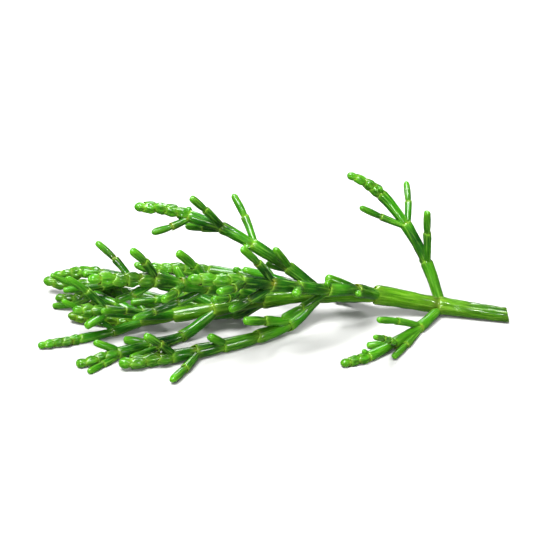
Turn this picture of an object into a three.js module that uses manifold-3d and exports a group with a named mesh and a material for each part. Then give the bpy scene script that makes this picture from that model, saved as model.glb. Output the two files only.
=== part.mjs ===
// A sprig of marsh samphire, cut from its plant and lying on a flat surface.
// Millimetres, +Z up. The cut end points to +X, and the sprig grows towards -X.
// The origin is the middle of the sprig's box, on the surface that it lies on.
import * as THREE from "three";
import { mergeVertices } from "three/addons/utils/BufferGeometryUtils.js";
import Module from "manifold-3d";

const wasm = await Module();
wasm.setup();

// Driving dimensions of the main stem
const stemLengths = [21, 18, 16.5, 15, 13, 11, 9];
const stemRadii = [2.3, 2.7, 2.65, 2.5, 2.35, 2.15, 1.95];
const stemSpikeJoints = 7;
const stemSpikeRadius = 1.85;
const stemProp = 6.5;
const stemFlatShare = 0.1;
const stemPropShare = 0.8;
const stemSway = 5;
const stemSpikeTaper = { radius: 0.055, length: 0.03 };
const cutSetback = 1.8;
const cutAngle = 0.22;

// Driving dimensions of the side shoots, one entry for each joint of the stem that bears a pair
const shootOpenings = [66, 46, 43, 41, 38, 35, 30];
const shootInternodes = [4, 5, 5, 5, 4, 3, 2];
const shootRadii = [1.55, 1.95, 1.9, 1.85, 1.7, 1.6, 1.45];
const shootSpikeJoints = [3, 5, 5, 5, 4, 4, 4];
const shootLength = 12.5;
const shootTaper = 0.91;
const shootPull = 0.15;
const shootSag = 0.16;

// Driving dimensions of the branchlets
const branchletOpening = 40;
const branchletShare = 0.66;
const branchletLength = 7.5;
const budLength = 2.6;

// A fleshy internode is a club: a narrow waist, a long belly and a rim with two scale leaves.
const shares = { waist: 0.68, shoulder: 0.9, rim: 1.1, lobe: 0.55 };
const spikeStep = 1.75;
const spikeBulge = 0.13;

// Room kept between neighbours, and how deep a shoot presses on the surface
const clearance = 0.45;
const rootGap = 0.16;
const seat = 0.9;

// Where an axis starts, in radii of its parent: out from the joint's middle and back from its top
const root = { out: 0.4, back: 0.3 };

// The middle of the sprig's box, measured from the cut end
const boxMiddle = new THREE.Vector3(-67.67, -1.76, 0);

const degrees = Math.PI / 180;
const quarterTurn = 90 * degrees;
const growth = new THREE.Vector3(-1, 0, 0);

// Repeatable draws from 0 to 1
let seed = 8;
function draw() {
  seed = (seed * 1664525 + 1013904223) % 4294967296;
  return seed / 4294967296;
}
const vary = (share) => 1 + share * (2 * draw() - 1);

// Three small sideways draws, which bend an axis a little at each joint.
const wobbles = (count, size) =>
  Array.from({ length: count }, () =>
    new THREE.Vector3(2 * draw() - 1, 2 * draw() - 1, 2 * draw() - 1).multiplyScalar(size),
  );

// Traces an axis from joint to joint. It turns towards a direction and lies down on the surface.
function trace(plan, heading) {
  const way = heading.clone();
  const joints = [plan.start.clone()];
  plan.lengths.forEach((length, i) => {
    const lowest = seat * plan.radii[i];
    const here = joints[i];
    if (here.z + way.z * length < lowest) {
      const rise = THREE.MathUtils.clamp((lowest - here.z) / length, -0.9, 0.9);
      const level = Math.sqrt(1 - rise * rise) / Math.hypot(way.x, way.y);
      way.set(way.x * level, way.y * level, rise);
    }
    joints.push(here.clone().addScaledVector(way, length));
    way.lerp(plan.towards, plan.pull).add(plan.wobble[i]).normalize();
  });
  return { ...plan, joints };
}

// Adds the directions of an axis at its joints, as the mean of the internodes that meet there.
function finish(axis) {
  const { joints } = axis;
  const ways = joints.slice(1).map((joint, i) => joint.clone().sub(joints[i]).normalize());
  axis.tangents = joints.map((_, i) =>
    (ways[i - 1] ?? ways[i]).clone().add(ways[i] ?? ways[i - 1]).normalize(),
  );
  return axis;
}

// The place and the cross-section's directions at share u of internode i
function stationAt(axis, i, u) {
  const [a, b] = [axis.joints[i], axis.joints[i + 1]];
  const [ta, tb] = [axis.tangents[i], axis.tangents[i + 1]];
  const length = a.distanceTo(b);
  const place = a.clone().multiplyScalar((1 + 2 * u) * (1 - u) ** 2);
  place.addScaledVector(b, u * u * (3 - 2 * u));
  place.addScaledVector(ta, length * u * (1 - u) ** 2);
  place.addScaledVector(tb, length * u * u * (u - 1));
  const along = a.clone().multiplyScalar((6 * u * (u - 1)) / length);
  along.addScaledVector(b, (6 * u * (1 - u)) / length);
  along.addScaledVector(ta, (1 - u) * (1 - 3 * u));
  along.addScaledVector(tb, u * (3 * u - 2));
  along.normalize();
  const across = axis.side.clone().addScaledVector(along, -axis.side.dot(along)).normalize();
  return { place, along, across, third: along.clone().cross(across) };
}

// The outward direction of one of a joint's two scale leaves, at the top of internode i
function outwardAt(axis, i, half) {
  const station = stationAt(axis, i, 1);
  const angle = axis.rolls[i] + half * Math.PI;
  const outward = station.across.clone().multiplyScalar(Math.cos(angle));
  return { ...station, outward: outward.addScaledVector(station.third, Math.sin(angle)) };
}

// Beads along an axis stand for it where room is measured.
const beadSpacing = 1.5;
function beadsOf(axis) {
  return axis.lengths.flatMap((length, i) => {
    const count = Math.ceil(length / beadSpacing);
    return Array.from({ length: count }, (_, k) => ({
      place: stationAt(axis, i, (k + 1) / count).place,
      radius: axis.radii[i] * shares.rim,
    }));
  });
}
const hasRoom = (beads, others) =>
  beads.every((bead) =>
    others.every((other) => {
      const apart = bead.radius + other.radius + clearance;
      return bead.place.distanceToSquared(other.place) > apart * apart;
    }),
  );

// The axes that have grown so far, and those that one axis has to stay clear of
const grown = [];
const othersOf = (plan) =>
  grown
    .filter((axis) => axis !== plan.parent && axis.jointKey !== plan.jointKey)
    .flatMap((axis) => axis.beads);

// Grows an axis out of a joint, and swings or shortens it until it is clear of its neighbours.
const swings = [0, 16, -16, 32, -32, 48, -48, 66, -66];
function growFrom(parent, i, half, plan) {
  const joint = outwardAt(parent, i, half);
  plan.parent = parent;
  plan.jointKey = parent.key + "/" + i;
  plan.key = plan.jointKey + "/" + half;
  plan.start = joint.place.clone().addScaledVector(joint.outward, parent.radii[i] * root.out);
  plan.start.addScaledVector(joint.along, -parent.radii[i] * root.back);
  const others = othersOf(plan);
  for (let count = plan.lengths.length; count >= plan.fewest; count -= 1) {
    const shorter = { ...plan, lengths: plan.lengths.slice(0, count) };
    shorter.spikeFrom = Math.min(plan.spikeFrom, count - 1);
    for (const swing of swings) {
      const outward = joint.outward.clone().applyAxisAngle(joint.along, swing * degrees);
      const heading = joint.along.clone().multiplyScalar(Math.cos(plan.opening));
      heading.addScaledVector(outward, Math.sin(plan.opening));
      shorter.side = joint.along.clone().cross(outward).normalize();
      const axis = finish(trace(shorter, heading));
      axis.beads = beadsOf(axis);
      if (hasRoom(axis.beads, others)) {
        grown.push(axis);
        return axis;
      }
    }
  }
  return null;
}

// Internode lengths of a shoot: long joints that taper, then the short joints of its spike
const lengthsOf = (first, count, spikeJoints, radius) => [
  ...Array.from({ length: count }, (_, i) => first * shootTaper ** i * vary(0.14)),
  ...Array.from({ length: spikeJoints }, () => radius * spikeStep * vary(0.08)),
];
const radiiOf = (radius, count, spikeJoints) =>
  Array.from({ length: count + spikeJoints }, (_, i) => {
    const share = 1 - 0.3 * (i / (count + spikeJoints)) ** 1.4;
    return radius * share * vary(0.05);
  });
const rollsOf = (first, count) =>
  Array.from({ length: count }, (_, i) => first + i * quarterTurn + (vary(0.16) - 1));

// The main stem bows up over the shoots that lie under it, and sways to one side and back.
function growStem() {
  const radii = [...stemRadii];
  const lengths = [...stemLengths];
  for (let i = 0; i < stemSpikeJoints; i += 1) {
    radii.push(stemSpikeRadius * (1 - stemSpikeTaper.radius * i));
    lengths.push(stemSpikeRadius * spikeStep * (1 - stemSpikeTaper.length * i));
  }
  const whole = lengths.reduce((sum, length) => sum + length, 0);
  let gone = 0;
  const joints = [0, ...lengths].map((length) => {
    gone += length;
    const share = gone / whole;
    const sway = stemSway * Math.sin(share * 2 * Math.PI) * (1 - 0.3 * share);
    const raised = THREE.MathUtils.clamp((share - stemFlatShare) / stemPropShare, 0, 1);
    const lift = stemProp * Math.sin(raised * Math.PI) ** 1.5;
    return new THREE.Vector3(-gone, sway, seat * radii[0] + lift);
  });
  const stem = finish({
    key: "stem",
    joints,
    lengths,
    radii,
    side: new THREE.Vector3(0, 1, 0),
    rolls: rollsOf(-45 * degrees, lengths.length),
    spikeFrom: stemLengths.length,
    rootShare: 1,
    sides: 12,
  });
  stem.tangents[0].setZ(0).normalize();
  stem.beads = beadsOf(stem);
  grown.push(stem);
  return stem;
}

// A pair of side shoots at each joint of the stem
function growShoot(stem, i, half) {
  const radius = shootRadii[i] * vary(0.06);
  const count = shootInternodes[i] - (draw() < 0.3 ? 1 : 0);
  const spikeJoints = shootSpikeJoints[i] + Math.round(2 * draw() - 1);
  const lengths = lengthsOf(shootLength * (1 - 0.045 * i), count, spikeJoints, radius);
  return growFrom(stem, i, half, {
    lengths,
    radii: radiiOf(radius, count, spikeJoints),
    rolls: rollsOf(quarterTurn * draw(), lengths.length),
    wobble: wobbles(lengths.length, 0.07),
    opening: shootOpenings[i] * degrees * vary(0.12),
    towards: growth.clone().setZ(-shootSag).normalize(),
    pull: shootPull,
    spikeFrom: count,
    fewest: 2,
    rootShare: 0.8,
    sides: 8,
  });
}

// A pair of branchlets at a joint of a shoot: some long, some a single joint, some a bud
function growBranchlet(shoot, i, half) {
  const kind = draw();
  if (kind > 0.93) return null;
  const radius = shoot.radii[i] * branchletShare * vary(0.1);
  const rest = 1 - i / shoot.spikeFrom;
  const count = kind < 0.42 ? 1 : kind < 0.86 ? 2 : 3;
  const bud = kind < 0.18;
  const first = bud ? budLength : branchletLength * (0.7 + 0.5 * rest);
  const lengths = Array.from({ length: count }, (_, k) => first * 0.88 ** k * vary(0.15));
  const away = shoot.tangents[i + 1].clone();
  return growFrom(shoot, i, half, {
    lengths,
    radii: lengths.map((_, k) => (bud ? 0.85 : 1) * radius * (1 - 0.1 * k)),
    rolls: rollsOf(quarterTurn * draw(), count),
    wobble: wobbles(count, 0.08),
    opening: branchletOpening * degrees * vary(0.2),
    towards: away,
    pull: 0.16,
    spikeFrom: count,
    fewest: 1,
    rootShare: 0.85,
    sides: 6,
  });
}

// The outline of one axis as distance from its centre line against share of each internode
function outlineOf(axis, swell) {
  const points = [{ i: 0, u: 0, radius: 0 }];
  const add = (i, u, share, lobe = 0, bulge = 0) => {
    const radius = axis.radii[i] * share + swell;
    points.push({ i, u, radius, lobe: lobe * axis.radii[i], bulge, rise: swell });
  };
  axis.lengths.forEach((_, i) => {
    const last = i === axis.lengths.length - 1;
    const inSpike = i >= axis.spikeFrom;
    add(i, 0, i === 0 ? axis.rootShare : shares.waist);
    points.at(-1).rise = 2 * swell;
    if (inSpike && !last) {
      add(i, 0.7, 1.04, 0.25, spikeBulge);
    } else if (last) {
      add(i, 0.3, 0.96, 0, 0.04);
      add(i, 0.84, 0.72, 0, 0);
      points.push({ i, u: 1, radius: 0 });
    } else {
      add(i, 0.16, axis.rootShare === 1 && i === 0 ? 1 : shares.shoulder);
      add(i, 1, shares.rim, shares.lobe, 0.05);
    }
  });
  return points;
}

// Turns the outline about a straight line, then bends it along the axis and raises the scale leaves.
function bodyOf(axis, swell = 0) {
  const outline = outlineOf(axis, swell);
  const profile = outline.map(({ i, u, radius }) => new THREE.Vector2(radius, i + u));
  const geometry = new THREE.LatheGeometry(profile, axis.sides);
  const position = geometry.getAttribute("position");
  const rows = outline.length;
  for (let v = 0; v < position.count; v += 1) {
    const { i, u, radius, lobe = 0, bulge = 0, rise = 0 } = outline[v % rows];
    const spin = (2 * Math.PI * Math.floor(v / rows)) / axis.sides;
    const station = stationAt(axis, i, u);
    const facing = Math.cos(2 * spin);
    const turn = spin + axis.rolls[i];
    const reach = radius * (1 + bulge * facing);
    station.place.addScaledVector(station.across, reach * Math.cos(turn));
    station.place.addScaledVector(station.third, reach * Math.sin(turn));
    station.place.addScaledVector(station.along, lobe * Math.max(0, facing) + rise);
    position.setXYZ(v, ...station.place.toArray());
  }
  return solidOf(geometry);
}

// A closed geometry as a solid that can be joined and cut
function solidOf(geometry, nearest = 1e-4) {
  const bare = new THREE.BufferGeometry();
  bare.setAttribute("position", geometry.getAttribute("position"));
  bare.setIndex(geometry.index);
  const merged = mergeVertices(bare, nearest);
  const vertProperties = new Float32Array(merged.getAttribute("position").array);
  const triVerts = new Uint32Array(merged.index.array);
  return new wasm.Manifold(new wasm.Mesh({ numProp: 3, vertProperties, triVerts }));
}

const slabThickness = 20;
const ground = solidOf(
  new THREE.BoxGeometry(600, 600, slabThickness).translate(0, 0, -slabThickness / 2),
);

// The surface of a solid as a geometry
function geometryOf(solid) {
  const { vertProperties, triVerts } = solid.getMesh();
  const geometry = new THREE.BufferGeometry();
  geometry.setAttribute("position", new THREE.BufferAttribute(vertProperties, 3));
  geometry.setIndex(new THREE.BufferAttribute(triVerts, 1));
  return geometry;
}

// A solid as a named mesh in the sprig's own frame, without slivers or loose scraps
const sliver = 0.02;
const nearby = [0.004, 0.002];
function meshOf(name, solid, material) {
  let geometry = geometryOf(solid.simplify(sliver)).translate(-boxMiddle.x, -boxMiddle.y, 0);
  for (const nearest of nearby) {
    const bodies = solidOf(geometry, nearest).decompose();
    geometry = geometryOf(bodies.sort((a, b) => b.volume() - a.volume())[0]);
  }
  const mesh = new THREE.Mesh(geometry, material);
  mesh.geometry.computeVertexNormals();
  mesh.name = name;
  return mesh;
}

const stemGreen = new THREE.MeshStandardMaterial({ color: 0x6f9c2a, roughness: 0.38, metalness: 0 });
const shootGreen = new THREE.MeshStandardMaterial({ color: 0x4a9a2c, roughness: 0.35, metalness: 0 });

const stem = growStem();
const shoots = stemLengths.flatMap((_, i) => [growShoot(stem, i, 0), growShoot(stem, i, 1)]);
const bearing = shoots.filter(Boolean);
const branchlets = new Map(bearing.map((shoot) => [shoot, []]));
for (const shoot of bearing) {
  for (let i = 0; i < shoot.spikeFrom; i += 1) {
    for (const half of [0, 1]) {
      const branchlet = growBranchlet(shoot, i, half);
      if (branchlet) branchlets.get(shoot).push(branchlet);
    }
  }
}

// The stem's cut end is sliced at a slant.
const sliceDepth = 20;
const slice = solidOf(
  new THREE.BoxGeometry(sliceDepth, 40, 40)
    .rotateY(-cutAngle)
    .translate(sliceDepth / 2 - cutSetback, 0, 0),
);
const stemBody = bodyOf(stem).subtract(slice).subtract(ground);
const stemRoom = bodyOf(stem, rootGap);

const sprig = new THREE.Group();
sprig.name = "samphire_sprig";
sprig.add(meshOf("main_stem", stemBody, stemGreen));
bearing.forEach((shoot, k) => {
  const spray = branchlets
    .get(shoot)
    .reduce((sum, branchlet) => sum.add(bodyOf(branchlet)), bodyOf(shoot));
  const name = "side_shoot_" + String(k + 1).padStart(2, "0");
  sprig.add(meshOf(name, spray.subtract(stemRoom).subtract(ground), shootGreen));
});

export default sprig;
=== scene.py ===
import math

import bmesh
import bpy
import numpy as np
from mathutils import Matrix, Vector


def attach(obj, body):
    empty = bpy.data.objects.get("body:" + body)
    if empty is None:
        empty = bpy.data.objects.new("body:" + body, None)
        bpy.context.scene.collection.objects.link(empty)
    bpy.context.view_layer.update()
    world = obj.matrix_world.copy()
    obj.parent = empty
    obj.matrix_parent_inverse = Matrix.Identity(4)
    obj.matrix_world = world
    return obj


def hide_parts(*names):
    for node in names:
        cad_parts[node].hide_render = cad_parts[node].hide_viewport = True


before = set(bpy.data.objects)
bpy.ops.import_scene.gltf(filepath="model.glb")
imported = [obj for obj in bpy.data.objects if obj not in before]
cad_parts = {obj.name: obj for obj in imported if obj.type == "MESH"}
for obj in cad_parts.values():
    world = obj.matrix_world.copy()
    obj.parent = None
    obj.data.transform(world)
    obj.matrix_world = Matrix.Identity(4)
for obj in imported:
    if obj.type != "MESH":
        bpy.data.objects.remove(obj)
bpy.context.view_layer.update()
mm = 0.001


# Main stem
# The stem is one row of fleshy joints, each a club that sits in the collar of the one before.
# It was cut with a knife at its thick end, bows up over the lower shoots and ends in a knobbly spike.
stem_lengths = [21, 18, 16.5, 15, 13, 11, 9]
stem_radii = [2.3, 2.7, 2.65, 2.5, 2.35, 2.15, 1.95]
stem_spike_joints = 7
stem_spike_radius = 1.85
stem_prop = 6.5
stem_prop_roundness = 1.5
stem_flat_share = 0.1
stem_prop_share = 0.8
stem_sway = 5
stem_sway_fading = 0.3
stem_spike_taper = 0.055
stem_spike_shortening = 0.03
spike_step = 1.75
seat = 0.9
quarter_turn = math.pi / 2
turn_slack = 0.16

# The growth starts at the cut end, and the sprig's box is centred on the origin.
box_middle = Vector((-67.67, -1.76, 0))
seed = 8


def draw():
    """The next repeatable draw from 0 to 1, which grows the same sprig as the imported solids"""
    global seed
    seed = (seed * 1664525 + 1013904223) % 4294967296
    return seed / 4294967296


def vary(share):
    """A factor that differs from 1 by at most a share"""
    return 1 + share * (2 * draw() - 1)


def rolls_of(first, count):
    """How far each joint's pair of scale leaves is turned: a quarter turn from joint to joint"""
    return [first + i * quarter_turn + (vary(turn_slack) - 1) for i in range(count)]


def finish_axis(axis):
    """Adds the directions of an axis at its joints."""
    joints = axis["joints"]
    ways = [(b - a).normalized() for a, b in zip(joints, joints[1:])]
    before = [ways[0]] + ways
    after = ways + [ways[-1]]
    axis["tangents"] = [(a + b).normalized() for a, b in zip(before, after)]
    return axis


def station_at(axis, i, u):
    """The place and the directions of the cross-section at share u of internode i"""
    a, b = axis["joints"][i], axis["joints"][i + 1]
    ta, tb = axis["tangents"][i], axis["tangents"][i + 1]
    length = (b - a).length
    place = a * ((1 + 2 * u) * (1 - u) ** 2) + b * (u * u * (3 - 2 * u))
    place += ta * (length * u * (1 - u) ** 2) + tb * (length * u * u * (u - 1))
    along = (b - a) * (6 * u * (1 - u) / length)
    along += ta * ((1 - u) * (1 - 3 * u)) + tb * (u * (3 * u - 2))
    along.normalize()
    across = (axis["side"] - along * axis["side"].dot(along)).normalized()
    return place, along, across, along.cross(across)


# Beads stand for an axis where room for its neighbours is measured.
bead_spacing = 1.5
rim_share = 1.1


def beads_of(axis):
    """The place and the radius of each bead along an axis"""
    beads = []
    for i, length in enumerate(axis["lengths"]):
        count = math.ceil(length / bead_spacing)
        for k in range(count):
            beads.append((*station_at(axis, i, (k + 1) / count)[0], axis["radii"][i] * rim_share))
    return np.array(beads)


def grow_stem():
    """The stem's axis: it sways a little, and its middle is propped up by the shoots under it."""
    spike = range(stem_spike_joints)
    radii = stem_radii + [stem_spike_radius * (1 - stem_spike_taper * i) for i in spike]
    steps = [spike_step * (1 - stem_spike_shortening * i) for i in spike]
    lengths = stem_lengths + [stem_spike_radius * step for step in steps]
    gone = 0
    joints = []
    for length in [0] + lengths:
        gone += length
        share = gone / sum(lengths)
        sway = stem_sway * math.sin(share * 2 * math.pi) * (1 - stem_sway_fading * share)
        raised = min(max((share - stem_flat_share) / stem_prop_share, 0), 1)
        lift = stem_prop * math.sin(raised * math.pi) ** stem_prop_roundness
        joints.append(Vector((-gone, sway, seat * radii[0] + lift)))
    axis = finish_axis({
        "key": "stem",
        "joint_key": None,
        "joints": joints,
        "lengths": lengths,
        "radii": radii,
        "side": Vector((0, 1, 0)),
        "rolls": rolls_of(-math.pi / 4, len(lengths)),
        "spike_from": len(stem_lengths),
        "kind": "stem",
    })
    axis["tangents"][0].z = 0
    axis["tangents"][0].normalize()
    axis["beads"] = beads_of(axis)
    return axis


# The shape of one internode: radius against distance from its base, both in radii of that internode
waist = 0.74
filling = 0.45
shoulder = 0.84
widening = 1.1
top_share = 1.08
turn_in = 0.09
turn_in_reach = 0.16
lip = 0.12


def club_radius(gone, whole):
    """A narrow waist, a belly that widens all the way up and round shoulders that turn in at the rim"""
    filled = waist + (shoulder - waist) * (1 - math.exp(-gone / filling))
    widened = (top_share - shoulder) * (gone / whole) ** widening
    return filled + widened - turn_in * math.exp(-max(0, whole - lip - gone) / turn_in_reach)


knob_waist = 0.76
knob_bulge = 0.33
knob_roundness = 0.8
knob_start = 0.04
knob_share = 0.74


def knob_radius(gone, whole):
    """A short spike joint: a waist, then one round bulge"""
    share = min(gone / whole * knob_share + knob_start, 1)
    return knob_waist + knob_bulge * math.sin(math.pi * share) ** knob_roundness


tip_fill = 0.94
tip_filling = 0.6
tip_belly = 0.1
tip_belly_roundness = 1.5
dome = 1.3
dome_bluntness = 2.4


def tip_radius(gone, whole):
    """The last internode: it fills out to a belly past its middle, and its end is a dome."""
    filled = waist + (tip_fill - waist) * (1 - math.exp(-gone / tip_filling))
    belly = tip_belly * math.sin(math.pi * min(gone / whole, 1)) ** tip_belly_roundness
    into = max(0, gone - (whole - dome)) / dome
    return (filled + belly) * math.sqrt(max(0, 1 - into ** dome_bluntness))


def add_row(rows, axis, i, along, radius, **marks):
    """One ring of the skin, at a distance along internode i and with a radius, both in millimetres. Its marks
    say how the skin swells there (leaf, bulge, bloom, groove) and how it is coloured (pale, tip, old)."""
    length = axis["lengths"][i]
    inside = min(max(along, 0), length)
    place, tangent, across, third = station_at(axis, i, inside / length)
    place = (place + tangent * (along - inside) - box_middle) * mm
    row = {"place": place, "along": tangent, "across": across, "third": third}
    row.update(reach=radius * mm, roll=axis["rolls"][i], travel=sum(axis["lengths"][:i]) + along)
    row.update(leaf=0, bulge=0, bloom=0, pale=0, tip=0, old=0, groove=1)
    row.update(marks)
    rows.append(row)


# Rings lie close together where the shape turns fast, and wider apart along the belly of a joint.
belly_step = 0.5
tip_steps = [0.03, 0.14, 0.3, 0.5, 0.75]
tip_belly_start = 1.0
tip_ring_gap = 0.1
dome_rings = 9

# Two small scale leaves close over the end of an axis, with a dimple between them.
tip_leaf = 0.16
tip_swelling = 0.12
dimple_edge = 0.16
dimple_radius = 0.12
dimple_depth = 0.2
tip_pale_reach = 0.35
tip_ripeness = 0.9


def add_last_internode(rows, axis, ripe):
    """The last joint of an axis, up to the dimple in its dome"""
    i = len(axis["lengths"]) - 1
    radius = axis["radii"][i]
    whole = axis["lengths"][i] / radius
    straight = whole - dome
    steps = tip_steps + list(np.arange(tip_belly_start, straight - tip_ring_gap, belly_step))
    steps = [s for s in steps if s < straight - tip_ring_gap]
    steps += [whole - dome * (1 - math.sin(quarter_turn * k / dome_rings)) for k in range(dome_rings)]
    for s in steps:
        into = min(max(0, s - straight) / dome, 1)
        leaf = tip_leaf * math.sin(math.pi * into) ** 2
        add_row(
            rows, axis, i, s * radius, radius * tip_radius(s, whole),
            leaf=leaf * radius * mm,
            bulge=tip_swelling * into ** 2,
            pale=math.exp(-s / tip_pale_reach),
            tip=max(ripe, (s / whole) ** 2 * tip_ripeness),
            groove=1 - into,
        )
    add_row(rows, axis, i, (whole - dimple_edge) * radius, radius * dimple_radius, tip=1, groove=0)
    add_row(rows, axis, i, (whole - dimple_depth) * radius, 0, tip=1, groove=0)


# Two scale leaves end each joint. They are as long as this share of the joint's radius.
scale_leaf = {"stem": 0.62, "shoot": 0.6, "branchlet": 0.42, "bud": 0.3}
leaf_reach = 0.85
leaf_curve = 1.6
leaf_swelling = 0.05
leaf_smoothing = 0.6

# The rings of a long joint, from its foot past its belly to its rim, and how pale its foot and rim are
foot_steps = [0.03, 0.12, 0.25, 0.42, 0.65]
belly_start = 0.95
belly_end = 0.75
rim_steps = [0.7, 0.5, 0.34, 0.2, 0.09, 0]
foot_pale = 0.8
foot_pale_reach = 0.45
rim_pale_reach = 0.26

# A joint of a spike is short and round, with three flowers on each side.
knob_foot_steps = [0.03, 0.15]
knob_belly_start = 0.3
knob_belly_step = 0.15
knob_swelling = 0.13
flower_swelling = 0.13
knob_groove = 1.6
knob_pale = 0.65
knob_rim_pale = 0.75

# Rings over the lip and into the cup: height above the rim, share of its radius, what is left of the leaf
cup_rings = [(0.05, 0.97, 1), (0.045, 0.91, 0.98), (-0.06, 0.87, 0.85), (-0.2, 0.84, 0.35)]
cup_depth = 0.34
cup_room = 1.03
cup_groove = 0.2
cup_pale = 0.2


def add_internode(rows, axis, i, in_spike, ripe):
    """One joint up to its rim, then over the thin lip and down into the cup that holds the next"""
    radius = axis["radii"][i]
    whole = axis["lengths"][i] / radius
    profile = knob_radius if in_spike else club_radius
    leaf = radius * mm * scale_leaf[axis["kind"]]
    top = whole - lip
    if in_spike:
        steps = knob_foot_steps + list(np.arange(knob_belly_start, top - belly_end, knob_belly_step))
    else:
        steps = foot_steps + list(np.arange(belly_start, top - belly_end, belly_step))
    steps += [top - back for back in rim_steps]
    for s in sorted(set(round(s, 4) for s in steps if 0 <= s <= top)):
        raised = max(0, 1 - (top - s) / leaf_reach) ** leaf_curve
        middle = math.sin(math.pi * s / top) if in_spike else 0
        pale = max(math.exp(-s / foot_pale_reach) * foot_pale, math.exp(-(top - s) / rim_pale_reach))
        add_row(
            rows, axis, i, s * radius, radius * profile(s, whole),
            leaf=leaf * raised,
            bulge=knob_swelling * middle + leaf_swelling * raised,
            bloom=flower_swelling * middle ** 2,
            pale=pale * (knob_pale if in_spike else 1),
            tip=ripe,
            groove=(1 - leaf_smoothing * raised) * (knob_groove if in_spike else 1),
        )
    rim = profile(top, whole)
    neck = axis["radii"][i + 1] * waist
    for up, share, keep in cup_rings:
        add_row(
            rows, axis, i, (top + up) * radius, max(radius * rim * share, neck * cup_room),
            leaf=leaf * keep,
            bulge=leaf_swelling * keep,
            pale=keep * (knob_rim_pale if in_spike else 1),
            tip=ripe,
            groove=cup_groove,
        )
    add_row(rows, axis, i, (top - cup_depth) * radius, neck, tip=ripe, pale=cup_pale, groove=cup_groove)


spike_ripeness = 0.5


def rows_of(axis):
    """All rings of an axis from its root to its tip. The spike ripens to yellower green towards its end."""
    rows = []
    add_row(rows, axis, 0, 0, 0)
    last = len(axis["lengths"]) - 1
    for i in range(last):
        in_spike = i >= axis["spike_from"] and axis["kind"] in ("stem", "shoot")
        ripe = spike_ripeness * ((i + 1) / (last + 1)) ** 3 if in_spike else 0
        add_internode(rows, axis, i, in_spike, ripe)
    add_last_internode(rows, axis, spike_ripeness if last > axis["spike_from"] else 0)
    return rows


def node(tree, kind, *values, **settings):
    """Adds a node, sets what it does, then fills or joins its inputs in their order."""
    made = tree.nodes.new(kind)
    for name, value in settings.items():
        setattr(made, name, value)
    sockets = [socket for socket in made.inputs if socket.enabled]
    for socket, value in zip(sockets, values):
        if isinstance(value, bpy.types.NodeSocket):
            tree.links.new(value, socket)
        elif value is not None:
            socket.default_value = value
    return made


def mark(tree, name, kind="FLOAT"):
    """A named attribute of the mesh as a socket"""
    made = tree.nodes.new("GeometryNodeInputNamedAttribute")
    made.data_type = kind
    made.inputs["Name"].default_value = name
    return made.outputs["Attribute"]


def maths(tree, operation, *values):
    """The result of one sum on numbers or sockets"""
    return node(tree, "ShaderNodeMath", *values, operation=operation).outputs[0]


def scaled(tree, vector, factor):
    """A vector times a number"""
    made = node(tree, "ShaderNodeVectorMath", operation="SCALE")
    tree.links.new(vector, made.inputs[0])
    tree.links.new(factor, made.inputs["Scale"])
    return made.outputs[0]


def summed(tree, *vectors):
    """The sum of vectors"""
    total = vectors[0]
    for vector in vectors[1:]:
        total = node(tree, "ShaderNodeVectorMath", total, vector, operation="ADD").outputs[0]
    return total


def store(tree, geometry, name, value, kind="FLOAT"):
    """Writes a value into a named attribute of every point."""
    made = tree.nodes.new("GeometryNodeStoreNamedAttribute")
    made.data_type = kind
    made.domain = "POINT"
    made.inputs["Name"].default_value = name
    tree.links.new(geometry, made.inputs["Geometry"])
    tree.links.new(value, made.inputs["Value"])
    return made.outputs[0]


def relief(tree, vector, seed, size, detail, depth):
    """Noise with bumps of a size, both up and down, that is as strong as its depth"""
    made = node(tree, "ShaderNodeTexNoise", noise_dimensions="4D")
    tree.links.new(vector, made.inputs["Vector"])
    tree.links.new(seed, made.inputs["W"])
    tree.links.new(maths(tree, "DIVIDE", 1.0, size), made.inputs["Scale"])
    made.inputs["Detail"].default_value = detail
    return maths(tree, "MULTIPLY", maths(tree, "SUBTRACT", made.outputs[0], 0.5), depth)


def skin_inputs(tree):
    """Gives the skin its inputs and its output. Sizes are in millimetres, depths in shares of the radius."""
    face = tree.interface
    face.new_socket("Axis", in_out="INPUT", socket_type="NodeSocketGeometry")
    for name, kind, value in [
        ("Sides", "Int", 24),
        ("Groove size", "Float", 0.7),
        ("Groove depth", "Float", 0.075),
        ("Lump size", "Float", 2.5),
        ("Lump depth", "Float", 0.22),
        ("Seed", "Float", 0),
        ("Finish", "Material", None),
    ]:
        socket = face.new_socket(name, in_out="INPUT", socket_type="NodeSocket" + kind)
        if value is not None:
            socket.default_value = value
    face.new_socket("Skin", in_out="OUTPUT", socket_type="NodeSocketGeometry")
    return tree.nodes.new("NodeGroupInput").outputs


def swept(tree, source):
    """A round tube along each axis, whose points know how far round it they are"""
    circle = node(tree, "GeometryNodeCurvePrimitiveCircle", mode="RADIUS")
    tree.links.new(source["Sides"], circle.inputs["Resolution"])
    index = tree.nodes.new("GeometryNodeInputIndex").outputs[0]
    turn = maths(tree, "MULTIPLY", maths(tree, "DIVIDE", index, source["Sides"]), 2 * math.pi)
    curve = tree.nodes.new("GeometryNodeMeshToCurve")
    tree.links.new(source["Axis"], curve.inputs[0])
    sweep = tree.nodes.new("GeometryNodeCurveToMesh")
    tree.links.new(curve.outputs[0], sweep.inputs["Curve"])
    tree.links.new(store(tree, circle.outputs[0], "turn", turn), sweep.inputs["Profile Curve"])
    return sweep.outputs[0]


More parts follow.
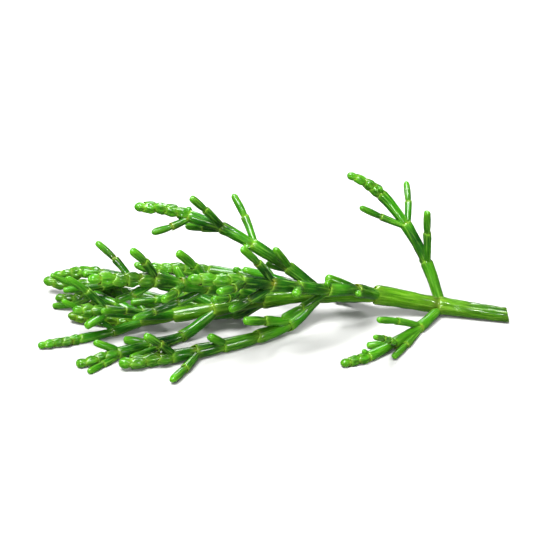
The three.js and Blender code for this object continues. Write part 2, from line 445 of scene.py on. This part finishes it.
def one_body(tree, strands):
    """Strands that grow out of one another become one closed body, whose skin keeps what they carried."""
    split = tree.nodes.new("GeometryNodeSplitToInstances")
    tree.links.new(strands, split.inputs["Geometry"])
    tree.links.new(tree.nodes.new("GeometryNodeInputMeshIsland").outputs[0], split.inputs["Group ID"])
    joined = tree.nodes.new("GeometryNodeMeshBoolean")
    joined.operation = "UNION"
    joined.solver = "MANIFOLD"
    tree.links.new(split.outputs[0], joined.inputs["Mesh 2"])
    whole = joined.outputs[0]
    for name, kind in [("grain", "FLOAT_VECTOR"), ("pale", "FLOAT"), ("tip", "FLOAT"), ("old", "FLOAT")]:
        nearest = tree.nodes.new("GeometryNodeSampleNearestSurface")
        nearest.data_type = kind
        tree.links.new(strands, nearest.inputs["Mesh"])
        tree.links.new(mark(tree, name, kind), nearest.inputs["Value"])
        whole = store(tree, whole, name, nearest.outputs[0], kind)
    return whole


groove_stretch = (1, 1, 0.14)
groove_detail = 1.5
lump_detail = 1.6
leaves_round = 2
flowers_round = 6
leaf_point = 1.6
weld = 2e-6


def skin_tree():
    """Geometry Nodes that wrap rings round an axis: scale leaves, lengthwise grooves and soft lumps"""
    tree = bpy.data.node_groups.new("fleshy_skin", "GeometryNodeTree")
    source = skin_inputs(tree)
    link = tree.links.new
    tube = swept(tree, source)
    turn = mark(tree, "turn")
    cosine = maths(tree, "COSINE", turn)
    sine = maths(tree, "SINE", turn)
    reach = mark(tree, "reach")
    from_leaf = maths(tree, "SUBTRACT", turn, mark(tree, "roll"))
    facing = maths(tree, "COSINE", maths(tree, "MULTIPLY", from_leaf, leaves_round))

    # The grain runs along the axis and wraps round it without a seam. It is in millimetres.
    millimetres = maths(tree, "MULTIPLY", reach, 1 / mm)
    grain = node(
        tree, "ShaderNodeCombineXYZ",
        maths(tree, "MULTIPLY", cosine, millimetres),
        maths(tree, "MULTIPLY", sine, millimetres),
        mark(tree, "travel"),
    ).outputs[0]
    stretched = node(tree, "ShaderNodeVectorMath", grain, groove_stretch, operation="MULTIPLY").outputs[0]
    depth = maths(tree, "MULTIPLY", source["Groove depth"], mark(tree, "groove"))
    groove = relief(tree, stretched, source["Seed"], source["Groove size"], groove_detail, depth)
    lump = relief(tree, grain, source["Seed"], source["Lump size"], lump_detail, source["Lump depth"])

    # A joint is wider under its two scale leaves, and a spike joint has three flowers on each side.
    swell = maths(tree, "MULTIPLY", mark(tree, "bulge"), facing)
    lobes = maths(tree, "COSINE", maths(tree, "MULTIPLY", from_leaf, flowers_round))
    flowers = maths(tree, "MULTIPLY", mark(tree, "bloom"), lobes)
    for part in (flowers, groove, lump, 1.0):
        swell = maths(tree, "ADD", swell, part)
    reach = maths(tree, "MULTIPLY", reach, swell)
    pointed = maths(tree, "POWER", maths(tree, "MAXIMUM", facing, 0.0), leaf_point)
    leaf = maths(tree, "MULTIPLY", mark(tree, "leaf"), pointed)
    place = summed(
        tree,
        mark(tree, "place", "FLOAT_VECTOR"),
        scaled(tree, mark(tree, "across", "FLOAT_VECTOR"), maths(tree, "MULTIPLY", reach, cosine)),
        scaled(tree, mark(tree, "third", "FLOAT_VECTOR"), maths(tree, "MULTIPLY", reach, sine)),
        scaled(tree, mark(tree, "along", "FLOAT_VECTOR"), leaf),
    )
    moved = tree.nodes.new("GeometryNodeSetPosition")
    link(store(tree, tube, "grain", grain, "FLOAT_VECTOR"), moved.inputs["Geometry"])
    link(place, moved.inputs["Position"])
    merged = tree.nodes.new("GeometryNodeMergeByDistance")
    link(moved.outputs[0], merged.inputs["Geometry"])
    merged.inputs["Distance"].default_value = weld

    real = tree.nodes.new("GeometryNodeRealizeInstances")
    link(one_body(tree, merged.outputs[0]), real.inputs[0])
    finish = tree.nodes.new("GeometryNodeSetMaterial")
    link(real.outputs[0], finish.inputs["Geometry"])
    link(source["Finish"], finish.inputs["Material"])
    link(finish.outputs[0], tree.nodes.new("NodeGroupOutput").inputs[0])
    return tree


def axis_object(name, strands):
    """Loose chains of points, one for each axis, that carry what the skin needs at each ring"""
    rows = [row for strand in strands for row in strand]
    mesh = bpy.data.meshes.new(name)
    edges = []
    start = 0
    for strand in strands:
        edges += [(start + k, start + k + 1) for k in range(len(strand) - 1)]
        start += len(strand)
    mesh.from_pydata([row["place"] for row in rows], edges, [])
    for key in ("place", "along", "across", "third"):
        values = np.array([row[key][:] for row in rows], dtype=np.float32)
        mesh.attributes.new(key, "FLOAT_VECTOR", "POINT").data.foreach_set("vector", values.ravel())
    for key in ("reach", "roll", "travel", "leaf", "bulge", "bloom", "pale", "tip", "old", "groove"):
        values = np.array([row[key] for row in rows], dtype=np.float32)
        mesh.attributes.new(key, "FLOAT", "POINT").data.foreach_set("value", values)
    thing = bpy.data.objects.new(name, mesh)
    bpy.context.scene.collection.objects.link(thing)
    return thing


skin = skin_tree()


def wrap(name, strands, **inputs):
    """Wraps the skin round the strands and keeps the result as a plain mesh object."""
    thing = axis_object(name + "_axis", strands)
    modifier = thing.modifiers.new("skin", "NODES")
    modifier.node_group = skin
    names = {item.name: item.identifier for item in skin.interface.items_tree if item.in_out == "INPUT"}
    for key, value in inputs.items():
        modifier[names[key.replace("_", " ").capitalize()]] = value
    bpy.context.view_layer.update()
    evaluated = thing.evaluated_get(bpy.context.evaluated_depsgraph_get())
    mesh = bpy.data.meshes.new_from_object(evaluated)
    bpy.data.objects.remove(thing)
    piece = bpy.data.objects.new(name, mesh)
    bpy.context.scene.collection.objects.link(piece)
    mesh.name = name
    return piece


def lay_flat(piece):
    """Flesh that would sink into the surface is pressed flat on it."""
    count = len(piece.data.vertices)
    places = np.empty(count * 3, dtype=np.float32)
    piece.data.vertices.foreach_get("co", places)
    heights = places.reshape(-1, 3)
    heights[:, 2] = np.maximum(heights[:, 2], 0)
    piece.data.vertices.foreach_set("co", places)
    piece.data.shade_smooth()


def ramp(tree, value, *stops):
    """A colour ramp from pairs of place and colour"""
    made = tree.nodes.new("ShaderNodeValToRGB")
    elements = made.color_ramp.elements
    while len(elements) < len(stops):
        elements.new(0.5)
    for element, (place, colour) in zip(elements, stops):
        element.position = place
        element.color = (*colour, 1)
    tree.links.new(value, made.inputs[0])
    return made.outputs[0]


def grey(value):
    """A colour without a hue"""
    return (value, value, value)


def blend(tree, factor, first, second):
    """Mixes two colours by a factor."""
    made = tree.nodes.new("ShaderNodeMix")
    made.data_type = "RGBA"
    tree.links.new(factor, made.inputs["Factor"])
    colours = [socket for socket in made.inputs if socket.enabled and socket.type == "RGBA"]
    for socket, colour in zip(colours, (first, second)):
        if isinstance(colour, bpy.types.NodeSocket):
            tree.links.new(colour, socket)
        else:
            socket.default_value = (*colour, 1)
    return next(socket for socket in made.outputs if socket.enabled)


def attribute(tree, name, output="Fac"):
    """What the skin carries under a name: a number, or a vector"""
    made = tree.nodes.new("ShaderNodeAttribute")
    made.attribute_name = name
    return made.outputs[output]


def noise(tree, vector, scale, detail=2.0, stretch=(1, 1, 1)):
    """Noise on a vector that may be squeezed first"""
    mapping = tree.nodes.new("ShaderNodeMapping")
    mapping.inputs["Scale"].default_value = stretch
    tree.links.new(vector, mapping.inputs["Vector"])
    made = tree.nodes.new("ShaderNodeTexNoise")
    made.inputs["Scale"].default_value = scale
    made.inputs["Detail"].default_value = detail
    tree.links.new(mapping.outputs[0], made.inputs["Vector"])
    return made.outputs[0]


def flesh(name, deep, fresh, young, joint, streak_and_sheen, aged):
    """Moist green flesh that light enters: streaked lengthwise, partly with a painted sheen, with painted
    shade in its furrows and painted glints, pale at its joints, yellower at its tips
    """
    material = bpy.data.materials.new(name)
    material.use_nodes = True
    tree = material.node_tree
    shader = tree.nodes["Principled BSDF"]
    link = tree.links.new
    where = tree.nodes.new("ShaderNodeTexCoord").outputs["Object"]
    grain = attribute(tree, "grain", "Vector")
    pale = attribute(tree, "pale")

    def laid_over(under, mask, share, paint):
        """Lays a paint over the colour below, as strongly as a mask times a share."""
        return blend(tree, maths(tree, "MULTIPLY", mask, share), under, paint)

    # Noise on the place has its scale in grains a metre, and noise on the grain in grains a millimetre.
    # First come two greens in soft patches, and a younger green on some joints and at the ripe tips.
    patches = ramp(tree, noise(tree, where, 95, 3.0), (0.36, grey(0)), (0.64, grey(1)))
    colour = blend(tree, patches, deep, fresh)
    ages = ramp(tree, noise(tree, where, 34, 1.0), (0.46, grey(0)), (0.66, grey(0.34)))
    ripeness = maths(tree, "MULTIPLY", attribute(tree, "tip"), 0.8)
    colour = blend(tree, maths(tree, "MAXIMUM", ages, ripeness), colour, young)

    # Pale streaks run lengthwise, partly the flesh's own striation and partly a painted sheen along the
    # ridges.
    lines = noise(tree, grain, 1.9, 3.0, (1, 1, 0.07))
    streaks_and_painted_sheen = ramp(tree, lines, (0.52, grey(0)), (0.68, grey(1)))
    colour = laid_over(colour, streaks_and_painted_sheen, 0.5, streak_and_sheen)
    # Painted shade darkens the furrows between the streaks.
    painted_furrow_shade = ramp(tree, lines, (0.30, grey(1)), (0.45, grey(0)))
    colour = laid_over(colour, painted_furrow_shade, 0.5, deep)
    # Pale specks in the joint colour are painted glints of the wet film.
    painted_wet_glints = ramp(tree, noise(tree, grain, 5.5, 2.0), (0.6, grey(0)), (0.72, grey(1)))
    colour = laid_over(colour, painted_wet_glints, 0.26, joint)

    # The feet and rims of the joints are pale, but not evenly, and have small bruises.
    uneven = ramp(tree, noise(tree, grain, 1.1), (0.3, grey(0.4)), (0.65, grey(1)))
    colour = blend(tree, maths(tree, "MULTIPLY", maths(tree, "MULTIPLY", pale, 0.7), uneven), colour, joint)
    bruises = ramp(tree, noise(tree, where, 420, 2.0), (0.56, grey(0)), (0.66, grey(0.55)))
    worn = maths(tree, "MAXIMUM", maths(tree, "MULTIPLY", bruises, pale), attribute(tree, "old"))
    link(blend(tree, worn, colour, aged), shader.inputs["Base Color"])

    # Light enters the flesh a little way, and a thin wet film lies over it, thicker in some places.
    wetness = noise(tree, grain, 1.2, 3.0, (1, 1, 0.35))
    link(ramp(tree, wetness, (0.3, grey(0.22)), (0.75, grey(0.42))), shader.inputs["Roughness"])
    shader.inputs["Subsurface Weight"].default_value = 0.25
    shader.inputs["Subsurface Radius"].default_value = (0.35, 1.0, 0.1)
    shader.inputs["Subsurface Scale"].default_value = 0.0009
    shader.inputs["Coat Weight"].default_value = 0.95
    shader.inputs["Coat Roughness"].default_value = 0.13
    shader.inputs["Coat IOR"].default_value = 1.38
    shader.inputs["Specular IOR Level"].default_value = 0.04

    fine = tree.nodes.new("ShaderNodeBump")
    fine.inputs["Strength"].default_value = 0.7
    fine.inputs["Distance"].default_value = 0.00016
    link(noise(tree, grain, 3.6, 2.5, (1, 1, 0.4)), fine.inputs["Height"])
    bump = tree.nodes.new("ShaderNodeBump")
    bump.inputs["Strength"].default_value = 0.6
    bump.inputs["Distance"].default_value = 0.00025
    link(lines, bump.inputs["Height"])
    link(fine.outputs[0], bump.inputs["Normal"])
    link(bump.outputs[0], shader.inputs["Normal"])
    return material


stem_flesh = flesh(
    "moist_stem_flesh",
    # the deep green of the patches, also laid into the furrows as painted shade
    deep=(0.007, 0.052, 0.001),
    fresh=(0.046, 0.172, 0.002),
    young=(0.118, 0.312, 0.008),
    # the pale joint colour, also used for the painted glints
    joint=(0.280, 0.450, 0.040),
    # the pale striation colour, also a painted sheen along the ridges
    streak_and_sheen=(0.180, 0.375, 0.032),
    aged=(0.030, 0.060, 0.003),
)

stem = grow_stem()
grown = [stem]
stem_rows = rows_of(stem)

# The bare stalk is ribbed, and the joint that ends it is swollen, with a dark, worn band.
# The places are millimetres past that joint.
node_swelling = 0.09
node_reach = 2.2
band_place = 0.6
band_reach = 1.1
band_darkness = 0.75
stalk_ribs = 3.2
ribs_end = -1
for row in stem_rows:
    past_node = row["travel"] - stem_lengths[0]
    row["reach"] *= 1 + node_swelling * math.exp(-((past_node / node_reach) ** 2))
    row["old"] = band_darkness * math.exp(-(((past_node - band_place) / band_reach) ** 2))
    row["groove"] *= stalk_ribs if past_node < ribs_end else 1
main_stem = wrap("main_stem_flesh", [stem_rows], sides=56, finish=stem_flesh, seed=1.0)

# The knife left a slanted face with a pale rind, a ring of veins and a soft core.
cut_setback = 1.8
cut_angle = 0.22
rind_width = 0.12
rind_rise = 0.03
cut_middle = (stem["joints"][0] - box_middle) * mm + Vector((-cut_setback * mm, 0, 0))


def cut_finish():
    """The cut face: rings of colour that wander a little, sprinkled with pale cells"""
    material = bpy.data.materials.new("cut_flesh")
    material.use_nodes = True
    tree = material.node_tree
    shader = tree.nodes["Principled BSDF"]
    where = tree.nodes.new("ShaderNodeTexCoord").outputs["Object"]
    centred = tree.nodes.new("ShaderNodeMapping")
    centred.inputs["Location"].default_value = -cut_middle
    tree.links.new(where, centred.inputs["Vector"])

    # The place on the face, in millimetres from its middle
    to_mm = (0, 1 / mm, 1 / mm)
    flat = node(tree, "ShaderNodeVectorMath", centred.outputs[0], to_mm, operation="MULTIPLY").outputs[0]
    reach = node(tree, "ShaderNodeVectorMath", flat, operation="LENGTH").outputs["Value"]
    wander = maths(tree, "MULTIPLY", maths(tree, "SUBTRACT", noise(tree, flat, 1.4), 0.5), 0.35)
    share = maths(tree, "DIVIDE", maths(tree, "ADD", reach, wander), stem_radii[0])
    colour = ramp(
        tree, share,
        (0.0, (0.32, 0.47, 0.08)),
        (0.34, (0.27, 0.44, 0.05)),
        (0.46, (0.09, 0.23, 0.01)),
        (0.56, (0.25, 0.41, 0.04)),
        (0.84, (0.17, 0.34, 0.02)),
        (1.0, (0.05, 0.16, 0.005)),
    )
    cells = noise(tree, flat, 3.2, 3.0)
    colour = blend(tree, ramp(tree, cells, (0.45, grey(0)), (0.7, grey(0.5))), colour, (0.38, 0.52, 0.14))
    tree.links.new(colour, shader.inputs["Base Color"])
    shader.inputs["Roughness"].default_value = 0.36
    shader.inputs["Subsurface Weight"].default_value = 0.3
    shader.inputs["Subsurface Radius"].default_value = (0.5, 1.0, 0.2)
    shader.inputs["Subsurface Scale"].default_value = 0.001
    bump = tree.nodes.new("ShaderNodeBump")
    bump.inputs["Strength"].default_value = 0.7
    bump.inputs["Distance"].default_value = 0.0001
    tree.links.new(cells, bump.inputs["Height"])
    tree.links.new(bump.outputs[0], shader.inputs["Normal"])
    return material


def cut_across(piece, middle, normal, finish):
    """Cuts a piece through a plane, closes the cut and gives the cut face its own finish."""
    piece.data.materials.append(finish)
    work = bmesh.new()
    work.from_mesh(piece.data)
    everything = work.verts[:] + work.edges[:] + work.faces[:]
    cut = bmesh.ops.bisect_plane(work, geom=everything, plane_co=middle, plane_no=normal, clear_outer=True)
    edges = [item for item in cut["geom_cut"] if isinstance(item, bmesh.types.BMEdge)]
    made = bmesh.ops.contextual_create(work, geom=edges)["faces"]
    rings = bmesh.ops.inset_region(work, faces=made, thickness=rind_width * mm, depth=rind_rise * mm)["faces"]
    for face in made + rings:
        face.material_index = len(piece.data.materials) - 1
        face.smooth = False
    bmesh.ops.triangulate(work, faces=made)
    work.to_mesh(piece.data)
    work.free()


lay_flat(main_stem)
cut_normal = Vector((math.cos(cut_angle), 0, math.sin(cut_angle)))
cut_across(main_stem, cut_middle, cut_normal, cut_finish())
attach(main_stem, "root")
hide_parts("main_stem")


# Side shoots
# A pair of shoots leaves each joint of the stem, and each shoot bears pairs of short branchlets.
# They are the same moist flesh, thinner and greener, and they end in blunt tips and knobbly spikes.
shoot_openings = [66, 46, 43, 41, 38, 35, 30]
shoot_internodes = [4, 5, 5, 5, 4, 3, 2]
shoot_radii = [1.55, 1.95, 1.9, 1.85, 1.7, 1.6, 1.45]
shoot_spike_joints = [3, 5, 5, 5, 4, 4, 4]
shoot_length = 12.5
shoot_shortening = 0.045
shoot_taper = 0.91
shoot_thinning = 0.3
shoot_thinning_curve = 1.4
shoot_pull = 0.15
shoot_sag = 0.16
shoot_wobble = 0.07
shoot_fewer_chance = 0.3

# A slack is the largest share by which a draw changes a size or an angle.
shoot_radius_slack = 0.06
shoot_length_slack = 0.14
shoot_spike_slack = 0.08
shoot_joint_slack = 0.05
shoot_opening_slack = 0.12

# A shoot or branchlet starts a little off its parent's axis, as shares of the parent's radius there.
# It keeps this clearance from its neighbours, and swings by so many degrees where one is in the way.
root_out = 0.4
root_back = 0.3
clearance = 0.45
swings = [0, 16, -16, 32, -32, 48, -48, 66, -66]
steepest = 0.9


def wobbles(count, size):
    """Small sideways draws, which bend an axis a little at each joint"""
    return [Vector((2 * draw() - 1, 2 * draw() - 1, 2 * draw() - 1)) * size for _ in range(count)]


def trace(plan, heading):
    """Follows an axis from joint to joint. It turns towards a direction and lies down on the surface."""
    way = heading.copy()
    joints = [plan["start"].copy()]
    for i, length in enumerate(plan["lengths"]):
        lowest = seat * plan["radii"][i]
        here = joints[i]
        if here.z + way.z * length < lowest:
            rise = min(max((lowest - here.z) / length, -steepest), steepest)
            level = math.sqrt(1 - rise * rise) / math.hypot(way.x, way.y)
            way = Vector((way.x * level, way.y * level, rise))
        joints.append(here + way * length)
        way = (way + (plan["towards"] - way) * plan["pull"] + plan["wobble"][i]).normalized()
    return {**plan, "joints": joints}


def has_room(beads, others):
    """Whether every bead stays clear of the beads of other axes"""
    apart = beads[:, None, :3] - others[None, :, :3]
    least = beads[:, None, 3] + others[None, :, 3] + clearance
    return bool(((apart ** 2).sum(axis=2) > least ** 2).all())


def grow_from(parent, i, half, plan):
    """Grows an axis out of a joint, and swings or shortens it until it is clear of its neighbours."""
    place, along, across, third = station_at(parent, i, 1)
    angle = parent["rolls"][i] + half * math.pi
    outward = across * math.cos(angle) + third * math.sin(angle)
    radius = parent["radii"][i]
    plan["joint_key"] = f"{parent['key']}/{i}"
    plan["key"] = f"{plan['joint_key']}/{half}"
    plan["start"] = place + outward * (radius * root_out) - along * (radius * root_back)
    others = [a["beads"] for a in grown if a is not parent and a["joint_key"] != plan["joint_key"]]
    others = np.concatenate(others) if others else np.empty((0, 4))
    for count in range(len(plan["lengths"]), plan["fewest"] - 1, -1):
        shorter = {**plan, "lengths": plan["lengths"][:count]}
        shorter["spike_from"] = min(plan["spike_from"], count - 1)
        for swing in swings:
            turned = Matrix.Rotation(math.radians(swing), 3, along) @ outward
            heading = along * math.cos(plan["opening"]) + turned * math.sin(plan["opening"])
            shorter["side"] = along.cross(turned).normalized()
            axis = finish_axis(trace(shorter, heading))
            axis["beads"] = beads_of(axis)
            if has_room(axis["beads"], others):
                grown.append(axis)
                return axis
    return None


def grow_shoot(i, half):
    """One shoot of the pair at stem joint i. Its spike has a joint fewer or more than usual, or neither."""
    radius = shoot_radii[i] * vary(shoot_radius_slack)
    count = shoot_internodes[i] - (1 if draw() < shoot_fewer_chance else 0)
    spike_joints = shoot_spike_joints[i] + math.floor(2 * draw() - 1 + 0.5)
    first = shoot_length * (1 - shoot_shortening * i)
    lengths = [first * shoot_taper ** k * vary(shoot_length_slack) for k in range(count)]
    lengths += [radius * spike_step * vary(shoot_spike_slack) for _ in range(spike_joints)]
    whole = count + spike_joints
    thinned = [radius * (1 - shoot_thinning * (k / whole) ** shoot_thinning_curve) for k in range(whole)]
    radii = [thin * vary(shoot_joint_slack) for thin in thinned]
    return grow_from(stem, i, half, {
        "kind": "shoot",
        "lengths": lengths,
        "radii": radii,
        "rolls": rolls_of(quarter_turn * draw(), whole),
        "wobble": wobbles(whole, shoot_wobble),
        "opening": math.radians(shoot_openings[i]) * vary(shoot_opening_slack),
        "towards": Vector((-1, 0, -shoot_sag)).normalized(),
        "pull": shoot_pull,
        "spike_from": count,
        "fewest": 2,
    })


# One draw says what grows at a place: up to each of these a bud, one joint, two or three, or else nothing.
bud_up_to = 0.18
single_up_to = 0.42
double_up_to = 0.86
triple_up_to = 0.93
bud_length = 2.6
bud_thickness = 0.85
branchlet_length = 7.5
branchlet_shortest = 0.7
branchlet_stretch = 0.5
branchlet_taper = 0.88
branchlet_share = 0.66
branchlet_thinning = 0.1
branchlet_opening = 40
branchlet_pull = 0.16
branchlet_wobble = 0.08
branchlet_radius_slack = 0.1
branchlet_length_slack = 0.15
branchlet_opening_slack = 0.2


def grow_branchlet(shoot, i, half):
    """Some branchlets are long, some a single joint and some a bud, and some joints lack one."""
    kind = draw()
    if kind > triple_up_to:
        return None
    radius = shoot["radii"][i] * branchlet_share * vary(branchlet_radius_slack)
    rest = 1 - i / shoot["spike_from"]
    count = 1 if kind < single_up_to else 2 if kind < double_up_to else 3
    bud = kind < bud_up_to
    first = bud_length if bud else branchlet_length * (branchlet_shortest + branchlet_stretch * rest)
    lengths = [first * branchlet_taper ** k * vary(branchlet_length_slack) for k in range(count)]
    thickness = bud_thickness if bud else 1
    return grow_from(shoot, i, half, {
        "kind": "bud" if bud else "branchlet",
        "lengths": lengths,
        "radii": [thickness * radius * (1 - branchlet_thinning * k) for k in range(count)],
        "rolls": rolls_of(quarter_turn * draw(), count),
        "wobble": wobbles(count, branchlet_wobble),
        "opening": math.radians(branchlet_opening) * vary(branchlet_opening_slack),
        "towards": shoot["tangents"][i + 1].copy(),
        "pull": branchlet_pull,
        "spike_from": count,
        "fewest": 1,
    })


shoots = [grow_shoot(i, half) for i in range(len(stem_lengths)) for half in (0, 1)]
shoots = [shoot for shoot in shoots if shoot]
branchlets = []
for shoot in shoots:
    pairs = [(i, half) for i in range(shoot["spike_from"]) for half in (0, 1)]
    made = [grow_branchlet(shoot, i, half) for i, half in pairs]
    branchlets.append([branchlet for branchlet in made if branchlet])

shoot_flesh = flesh(
    "moist_shoot_flesh",
    # the deep green of the patches, also laid into the furrows as painted shade
    deep=(0.001, 0.032, 0.002),
    fresh=(0.020, 0.172, 0.002),
    young=(0.098, 0.365, 0.008),
    # the pale joint colour, also used for the painted glints
    joint=(0.250, 0.470, 0.038),
    # the pale striation colour, also a painted sheen along the ridges
    streak_and_sheen=(0.160, 0.395, 0.038),
    aged=(0.145, 0.092, 0.008),
)


def is_flap(face):
    """Whether a face only hangs on an edge that other faces close already"""
    is_open = any(edge.is_boundary for edge in face.edges)
    is_third = any(len(edge.link_faces) > 2 for edge in face.edges)
    return is_open and is_third


def shares_two_sides(face):
    """Whether a face meets one neighbour along two of its sides"""
    around = [other for edge in face.edges for other in edge.link_faces if other is not face]
    return len(set(around)) < len(around)


def close_seams(piece, shortest=1e-6):
    """Drops the specks of edges where branchlets were joined on, and leaves one closed skin."""
    work = bmesh.new()
    work.from_mesh(piece.data)
    bmesh.ops.dissolve_degenerate(work, dist=shortest, edges=work.edges[:])
    bmesh.ops.delete(work, geom=[face for face in work.faces if is_flap(face)], context="FACES")
    bmesh.ops.delete(work, geom=[edge for edge in work.edges if edge.is_wire], context="EDGES")
    bmesh.ops.delete(work, geom=[vert for vert in work.verts if not vert.link_faces], context="VERTS")
    bmesh.ops.holes_fill(work, edges=[edge for edge in work.edges if edge.is_boundary])
    crowded = [face for face in work.faces if len(face.verts) > 4]
    crowded += [face for face in work.faces if len(face.verts) == 4 and shares_two_sides(face)]
    bmesh.ops.poke(work, faces=crowded)
    bmesh.ops.recalc_face_normals(work, faces=work.faces[:])
    work.to_mesh(piece.data)
    work.free()


for k, (shoot, bearing) in enumerate(zip(shoots, branchlets)):
    strands = [rows_of(axis) for axis in [shoot] + bearing]
    name = f"side_shoot_{k + 1:02d}"
    piece = wrap(name + "_flesh", strands, sides=36, finish=shoot_flesh, seed=2.0 + k)
    close_seams(piece)
    lay_flat(piece)
    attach(piece, "root")
    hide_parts(name)


# Studio
# A pale floor under broad soft boxes, in a dim room.
# Three small windows show as wet specks on the flesh.
floor_size = 6
floor_mesh = bpy.data.meshes.new("floor")
corners = [(-1, -1, 0), (1, -1, 0), (1, 1, 0), (-1, 1, 0)]
floor_mesh.from_pydata([Vector(c) * floor_size / 2 for c in corners], [], [(0, 1, 2, 3)])
floor = bpy.data.objects.new("floor", floor_mesh)
bpy.context.scene.collection.objects.link(floor)
paper = bpy.data.materials.new("pale_paper")
paper.use_nodes = True
paper_shader = paper.node_tree.nodes["Principled BSDF"]
paper_shader.inputs["Base Color"].default_value = (0.52, 0.52, 0.51, 1)
paper_shader.inputs["Roughness"].default_value = 0.7
floor_mesh.materials.append(paper)

# The floor isn't mirrored in the flesh, as if black cards stood round the sprig, so the greens stay deep.
floor.visible_glossy = False

sprig_middle = Vector((0, 0, 0.01))


def soft_box(name, place, size, power):
    """A square area light that faces the sprig"""
    light = bpy.data.lights.new(name, "AREA")
    light.size = size
    light.energy = power
    thing = bpy.data.objects.new(name, light)
    thing.location = place
    thing.rotation_euler = (sprig_middle - Vector(place)).to_track_quat("-Z", "Y").to_euler()
    bpy.context.scene.collection.objects.link(thing)


soft_box("key_light", (-0.60, -0.45, 2.25), 1.20, 128)
soft_box("side_light", (2.00, -1.80, 1.35), 0.32, 18)
soft_box("rim_light", (0.15, 2.25, 1.60), 0.90, 38)
soft_box("front_window", (-0.45, -2.35, 1.35), 0.14, 16)
soft_box("high_window", (0.72, -0.54, 2.35), 0.14, 16)
soft_box("left_window", (-2.25, 0.27, 1.17), 0.14, 11)

world = bpy.data.worlds.new("dim_room")
world.use_nodes = True
background = world.node_tree.nodes["Background"]
background.inputs["Color"].default_value = (1, 1, 1, 1)
background.inputs["Strength"].default_value = 0.11
bpy.context.scene.world = world
bpy.context.scene.view_settings.view_transform = "Standard"

# The camera looks down at the sprig at the photograph's angle.
elevation = math.radians(30)
distance = 0.36
aim = Vector((0.0025, 0, 0.0145))
lens = bpy.data.cameras.new("camera")
lens.lens = 85
lens.clip_start = 0.005
camera = bpy.data.objects.new("camera", lens)
camera.location = aim + Vector((0, -math.cos(elevation), math.sin(elevation))) * distance
camera.rotation_euler = (aim - camera.location).to_track_quat("-Z", "Y").to_euler()
bpy.context.scene.collection.objects.link(camera)
bpy.context.scene.camera = camera
